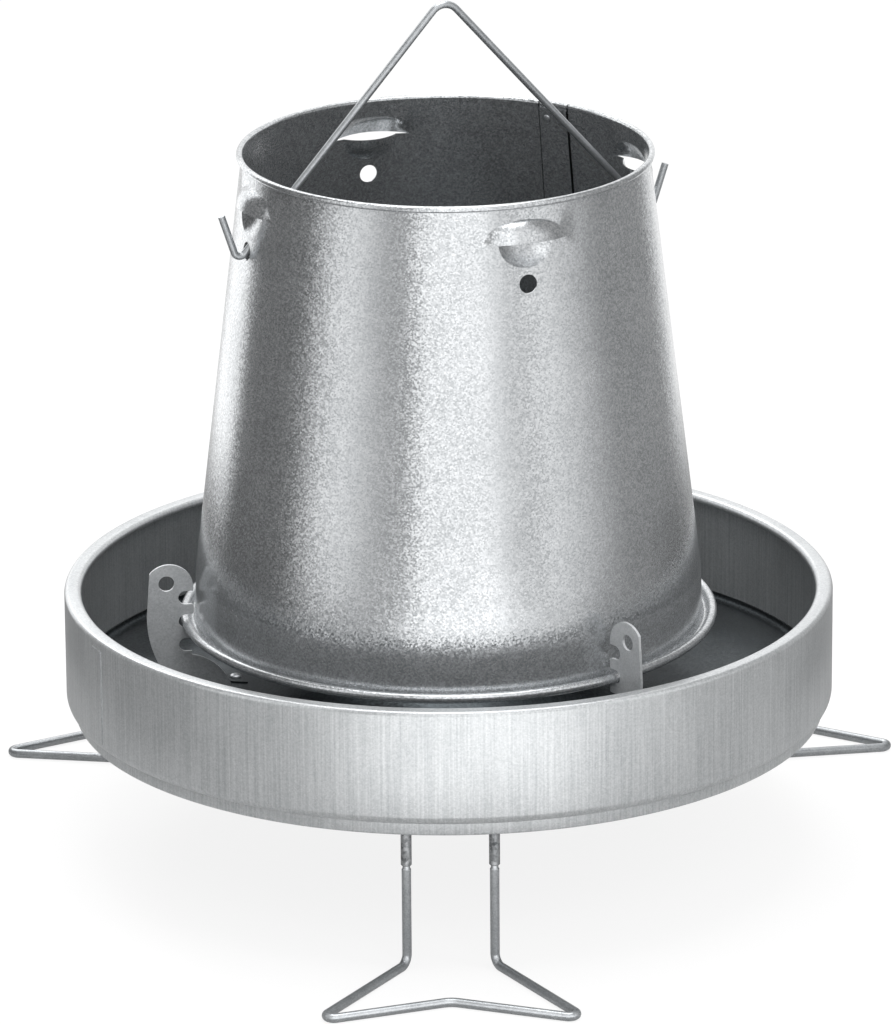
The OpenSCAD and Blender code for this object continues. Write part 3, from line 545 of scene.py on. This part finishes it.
# Legs: two uprights, a foot drawn back at its middle, and a thin prong on each upright
leg = {"wireR": 2.5, "uprightR": 198.549, "uprightSide": 23.2, "cornerR": 276.049,
       "cornerSide": 70.0, "middleR": 251.549, "ankleBend": 6.0, "cornerBend": 4.0,
       "middleBend": 12.0, "shoulderZ": 56.9, "shoulderRound": 0.8, "prongR": 2.0,
       "prongTop": 83.1}
legAzimuths = {"leg_front": 0, "leg_rear_left": -130, "leg_rear_right": 130}
shoulderLow = leg["shoulderZ"] - leg["shoulderRound"]
prongProfile = [(0.0, shoulderLow), (leg["wireR"], shoulderLow),
                (leg["prongR"], leg["shoulderZ"]),
                (leg["prongR"], leg["prongTop"] - leg["shoulderRound"]),
                (leg["prongR"] - leg["shoulderRound"], leg["prongTop"]), (0.0, leg["prongTop"])]
prong = spin(prongProfile, False, "drawnWire", wireMesh["sides"], 1.0)
for nodeName, azimuth in legAzimuths.items():
    half = [(leg["uprightR"], leg["uprightSide"], shoulderLow),
            (leg["uprightR"], leg["uprightSide"], leg["wireR"]),
            (leg["cornerR"], leg["cornerSide"], leg["wireR"])]
    otherHalf = [(r, -side, z) for r, side, z in reversed(half)]
    corners = half + [(leg["middleR"], 0, leg["wireR"])] + otherHalf
    halfBends = [0, leg["ankleBend"], leg["cornerBend"]]
    bends = halfBends + [leg["middleBend"]] + halfBends[::-1]
    meshes = [bendWire([outward(azimuth, *corner) for corner in corners], bends, leg["wireR"],
                       "drawnWire")]
    for side in (-leg["uprightSide"], leg["uprightSide"]):
        copy = prong.copy()
        copy.transform(Matrix.Translation(outward(azimuth, leg["uprightR"], side)))
        meshes.append(copy)
    finishPiece(joinMeshes(meshes), nodeName)
print("wires made")

# Pieces whose shape is the CAD's own: a copy is merged, so the shine runs unbroken
copied = {
    # The feed cone's colour carries painted shade
    "feed_cone": "floorSheetPaintedShade",
    "height_bracket_left": "stampedPlate",
    "height_bracket_right": "stampedPlate",
    "height_bracket_rear": "stampedPlate",
    "socket_plate_front": "stampedPlate",
    "socket_plate_rear_left": "stampedPlate",
    "socket_plate_rear_right": "stampedPlate",
    "socket_tubes_front": "dippedTube",
    "socket_tubes_rear_left": "dippedTube",
    "socket_tubes_rear_right": "dippedTube",
    "hopper_shell": "hotDipHopperSheet",
    "hopper_rim_wire": "drawnWire",
    "hopper_hem_wire": "drawnWire",
}


def mergedCopy(nodeName, matName):
    source = frame["nodes"][nodeName]
    mesh = source.data.copy()
    mesh.transform(source.matrix_world)
    bm = bmesh.new()
    bm.from_mesh(mesh)
    bmesh.ops.remove_doubles(bm, verts=bm.verts, dist=weldWithin)
    bm.to_mesh(mesh)
    bm.free()
    if "custom_normal" in mesh.attributes:
        mesh.attributes.remove(mesh.attributes["custom_normal"])
    mesh.materials.clear()
    mesh.materials.append(zinc[matName])
    return mesh


# The hopper's two beads, as ring radius, ring height and bead radius in millimetres, are spun
# anew, because their faces in the copy are flat enough to show
hopperBeads = [(110.6, 390.7, 1.8), (144.2, 131.3, 2.6)]
beadMesh = {"within": 0.02, "roundSteps": 32, "steps": 720}
collarTop = 157.1  # height in millimetres below which the hopper's sheet was pressed


def roundBeads(mesh):
    bm = bmesh.new()
    bm.from_mesh(mesh)
    for ringR, ringZ, beadR in hopperBeads:
        rolled = []
        for face in bm.faces:
            spots = [(v.co.xy.length / mm - ringR, v.co.z / mm - ringZ) for v in face.verts]
            if all(sqrt(x * x + z * z) < beadR + beadMesh["within"] for x, z in spots):
                rolled.append(face)
        bmesh.ops.delete(bm, geom=rolled, context="FACES")
    bm.to_mesh(mesh)
    bm.free()
    beads = [spin(arc(ringR, ringZ, beadR, 0, 360, beadMesh["roundSteps"])[:-1], True,
                  "hotDipHopperSheet", beadMesh["steps"], ringR)
             for ringR, ringZ, beadR in hopperBeads]
    return joinMeshes([mesh] + beads)


for nodeName, matName in copied.items():
    mesh = mergedCopy(nodeName, matName)
    if nodeName == "hopper_shell":
        mesh = roundBeads(mesh)
        mesh.materials.append(zinc["pressedCollarSheet"])
        for face in mesh.polygons:
            face.material_index = 1 if face.center.z < collarTop * mm else 0
    finishPiece(mesh, nodeName)
print("copied pieces made:", len(copied))

# Studio, in metres: soft lamps, white paper, a bright sky, and a tent of light and dark cloth
# that only gloss sees
lamps = {
    "keyLamp": {"place": (0.5, -2.1, 1.7), "size": (1.2, 1.2), "watts": 14},
    "fillLamp": {"place": (1.8, -1.2, 1.2), "size": (0.8, 1.6), "watts": 11},
    "backLamp": {"place": (-0.6, 1.9, 1.9), "size": (1.6, 0.6), "watts": 34},
    "topLamp": {"place": (0.0, 0.1, 2.2), "size": (1.4, 1.4), "watts": 24},
}
aimHeight = 0.22
for name, lamp in lamps.items():
    light = bpy.data.lights.new(name, "AREA")
    light.shape = "RECTANGLE"
    light.size, light.size_y = lamp["size"]
    light.energy = lamp["watts"]
    stand = addObject(name, light)
    stand.location = lamp["place"]
    aim = Vector((0, 0, aimHeight)) - Vector(lamp["place"])
    stand.rotation_euler = aim.to_track_quat("-Z", "Y").to_euler()

# The paper glows: white to the camera but less so near the feeder, so that the shadow shows,
# and greyer where the metal mirrors it
paper = {"half": 6, "colour": "#f4f4f4", "glowNear": 0.86, "near": 0.5, "far": 2.5,
         "inGloss": 0.40}


def makePaper(name):
    mat = bpy.data.materials.new(name)
    tree = emptyTree(mat)
    matt = addNode(tree, "ShaderNodeBsdfDiffuse", inputs={"Color": hexColour(paper["colour"])})
    rays = addNode(tree, "ShaderNodeLightPath")
    strength = addNode(tree, "ShaderNodeMapRange",
                       inputs={"To Min": paper["inGloss"], "To Max": 1.0},
                       links={"Value": rays.outputs["Is Camera Ray"]})
    glow = addNode(tree, "ShaderNodeEmission", inputs={"Color": (1, 1, 1, 1)},
                   links={"Strength": strength.outputs["Result"]})
    fromMiddle = addNode(tree, "ShaderNodeVectorMath", {"operation": "LENGTH"},
                         links={0: addNode(tree, "ShaderNodeTexCoord").outputs["Object"]})
    glowShare = addNode(tree, "ShaderNodeMapRange",
                        inputs={"From Min": paper["near"], "From Max": paper["far"],
                                "To Min": paper["glowNear"], "To Max": 1.0},
                        links={"Value": fromMiddle.outputs["Value"]})
    inView = addNode(tree, "ShaderNodeMath", {"operation": "MULTIPLY"},
                     links={0: rays.outputs["Is Camera Ray"], 1: glowShare.outputs["Result"]})
    mirrored = addNode(tree, "ShaderNodeMath", {"operation": "MAXIMUM"},
                       links={0: rays.outputs["Is Glossy Ray"],
                              1: rays.outputs["Is Transmission Ray"]})
    amount = addNode(tree, "ShaderNodeMath", {"operation": "MAXIMUM"},
                     links={0: inView.outputs[0], 1: mirrored.outputs[0]})
    both = addNode(tree, "ShaderNodeMixShader",
                   links={0: amount.outputs[0], 1: matt.outputs[0], 2: glow.outputs[0]})
    addNode(tree, "ShaderNodeOutputMaterial", links={"Surface": both.outputs[0]})
    return mat


floorMesh = bpy.data.meshes.new("floor")
floorCorners = [(x * paper["half"], y * paper["half"], 0)
                for x, y in ((-1, -1), (1, -1), (1, 1), (-1, 1))]
floorMesh.from_pydata(floorCorners, [], [(0, 1, 2, 3)])
floorMesh.materials.append(makePaper("whitePaper"))
floor = addObject("floor", floorMesh)

# The tent is a ring of upright faces that goes from its low cloth to its high cloth between
# the two heights in mix. Each cloth is a list of azimuths from the front, in degrees, and how
# light the cloth is there: light panels with dark gaps, set so that the sheet shows the bands
# of light that it has in the photograph.
tentCloth = {
    "radius": 0.42, "low": 0.002, "high": 1.2, "steps": 96, "strength": 2.8, "mix": (0.10, 0.16),
    "highCloth": [(-180, 0.40), (-148, 0.30), (-136, 0.62), (-116, 0.60), (-107, 0.03),
                  (-69, 0.04), (-51, 0.44), (-41, 0.42), (-27, 0.20), (-16, 0.18), (-11, 0.56),
                  (18, 0.58), (25, 0.35), (34, 0.31), (43, 0.42), (51, 0.35), (77, 0.10),
                  (120, 0.10), (140, 0.42), (180, 0.40)],
    "lowCloth": [(-180, 0.30), (-121, 0.03), (-70, 0.02), (-30, 0.24), (-15, 0.72), (-6, 0.88),
                 (20, 0.88), (38, 0.40), (61, 0.12), (112, 0.02), (180, 0.30)],
}


def makeCloth(name):
    mat = bpy.data.materials.new(name)
    tree = emptyTree(mat)
    turn, height = azimuthAndHeight(tree)
    share = addNode(tree, "ShaderNodeMapRange", inputs={"From Min": -pi, "From Max": pi},
                    links={"Value": turn})
    cloths = []
    for clothName in ("lowCloth", "highCloth"):
        ramp = addNode(tree, "ShaderNodeValToRGB", links={"Fac": share.outputs["Result"]})
        stops = ramp.color_ramp.elements
        places = [((azimuth + 180) / 360, lightness) for azimuth, lightness in tentCloth[clothName]]
        for place, lightness in places[1:-1]:
            stops.new(place)
        for stop, (place, lightness) in zip(stops, places):
            stop.position = place
            stop.color = (lightness, lightness, lightness, 1.0)
        cloths.append(ramp.outputs["Color"])
    mixFrom, mixTo = tentCloth["mix"]
    upwards = addNode(tree, "ShaderNodeMapRange", inputs={"From Min": mixFrom, "From Max": mixTo},
                      links={"Value": height})
    hung = addNode(tree, "ShaderNodeMix", {"data_type": "RGBA"},
                   links={"Factor": upwards.outputs["Result"], 6: cloths[0], 7: cloths[1]})
    cloth = addNode(tree, "ShaderNodeEmission", inputs={"Strength": tentCloth["strength"]},
                    links={"Color": hung.outputs[2]})
    addNode(tree, "ShaderNodeOutputMaterial", links={"Surface": cloth.outputs[0]})
    return mat


tentMesh = bpy.data.meshes.new("lightTent")
tentSteps = tentCloth["steps"]
tentPoints = [outward(360 * i / tentSteps, tentCloth["radius"] / mm, z=z / mm)
              for i in range(tentSteps) for z in (tentCloth["low"], tentCloth["high"])]
tentFaces = [(2 * i, 2 * i + 1, (2 * i + 3) % (2 * tentSteps), (2 * i + 2) % (2 * tentSteps))
             for i in range(tentSteps)]
tentMesh.from_pydata([tuple(p) for p in tentPoints], [], tentFaces)
tentMesh.materials.append(makeCloth("tentCloth"))
tent = addObject("lightTent", tentMesh)
tent.visible_camera = False
tent.visible_diffuse = False
tent.visible_transmission = False
tent.visible_shadow = False

# The sky is white wherever it is seen, and dimmer as a light
skyDiffuse = 0.80
world = bpy.data.worlds.new("studioWorld")
bpy.context.scene.world = world
skyTree = emptyTree(world)
rays = addNode(skyTree, "ShaderNodeLightPath")
inSight = addNode(skyTree, "ShaderNodeMath", {"operation": "MAXIMUM"},
                  links={0: rays.outputs["Is Camera Ray"], 1: rays.outputs["Is Glossy Ray"]})
seen = addNode(skyTree, "ShaderNodeMath", {"operation": "MAXIMUM"},
               links={0: inSight.outputs[0], 1: rays.outputs["Is Transmission Ray"]})
skyLight = addNode(skyTree, "ShaderNodeMapRange", inputs={"To Min": skyDiffuse, "To Max": 1.0},
                   links={"Value": seen.outputs[0]})
sky = addNode(skyTree, "ShaderNodeBackground", inputs={"Color": (1, 1, 1, 1)},
              links={"Strength": skyLight.outputs["Result"]})
addNode(skyTree, "ShaderNodeOutputWorld", links={"Surface": sky.outputs[0]})
print("studio made")

# Camera, in metres and degrees, with a long lens: the photograph's view is nearly parallel
shot = {"distance": 4.0, "lookHeight": 0.1869, "elevation": 18.64, "roll": -0.40, "lens": 257.9,
        "sensor": 36, "clipEnd": 50}
camData = bpy.data.cameras.new("camera")
camData.lens = shot["lens"]
camData.sensor_width = shot["sensor"]
camData.clip_end = shot["clipEnd"]
camera = addObject("camera", camData)
tilt = Matrix.Rotation(radians(90 - shot["elevation"]), 4, "X")
roll = Matrix.Rotation(radians(shot["roll"]), 4, "Z")
behind = Matrix.Rotation(radians(-shot["elevation"]), 4, "X") @ Vector((0, -shot["distance"], 0))
place = behind + Vector((0, 0, shot["lookHeight"]))
camera.matrix_world = Matrix.Translation(place) @ (tilt @ roll)
bpy.context.scene.camera = camera
bpy.context.scene.view_settings.view_transform = "Standard"
print("camera set")
